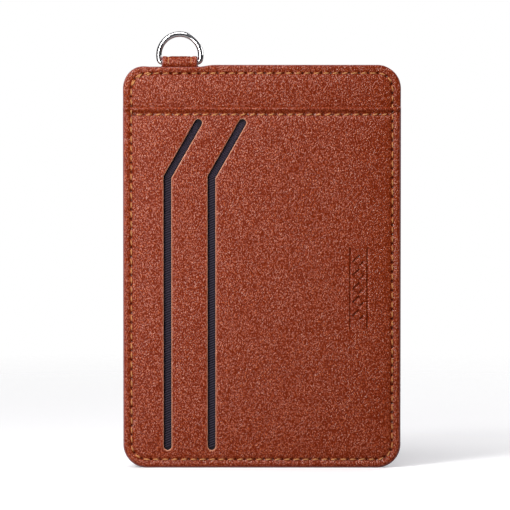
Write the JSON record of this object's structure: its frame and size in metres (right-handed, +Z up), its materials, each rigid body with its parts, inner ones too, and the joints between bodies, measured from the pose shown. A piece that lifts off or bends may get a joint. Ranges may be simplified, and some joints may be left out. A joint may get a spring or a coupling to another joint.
{
  "type": "card holder",
  "caption": "Slim upright leather card holder with diagonal card slots, a top pocket on each side, a clear ID window behind and a swinging D ring.",
  "frame": {"origin": "middle of the bottom edge, halfway through the thickness, on the surface that the holder stands on", "axes": "+Z up towards the ring, front with the diagonal slots towards -Y, +X to the right as the front is seen"},
  "size_m": [0.08, 0.005, 0.1258],
  "materials": {
    "brown_leather": "fine pebbled grain, semi-matt, maroon painted edges",
    "lining_twill": "near-black ribbed twill",
    "stiffener_board": "leather-fibre board, matt",
    "tan_thread": "waxed tan sewing thread",
    "window_film": "clear glossy film",
    "ring_chrome": "polished plated wire"
  },
  "bodies": {
    "holder": {"front_pocket_panel": "brown_leather", "back_pocket_panel": "brown_leather", "front_body_panel": "brown_leather", "back_body_panel": "brown_leather", "ring_tab": "brown_leather", "slot_divider_outer": "lining_twill", "slot_divider_inner": "lining_twill", "id_pocket_lining": "lining_twill", "centre_lining_front": "lining_twill", "centre_lining_back": "lining_twill", "front_stiffener": "stiffener_board", "back_stiffener": "stiffener_board", "perimeter_needle_thread": "tan_thread", "perimeter_bobbin_thread": "tan_thread", "front_mouth_thread": "tan_thread", "back_mouth_thread": "tan_thread", "window_thread": "tan_thread", "tab_thread": "tan_thread", "window_pane": "window_film"},
    "ring": {"d_ring": "ring_chrome"}
  },
  "joints": [
    {"name": "ring_swing", "type": "hinge", "parent": "holder", "child": "ring", "pos_m": [-0.02364, 0, 0.117], "axis": [1, 0, 0], "range_deg": [-105, 105]}
  ]
}
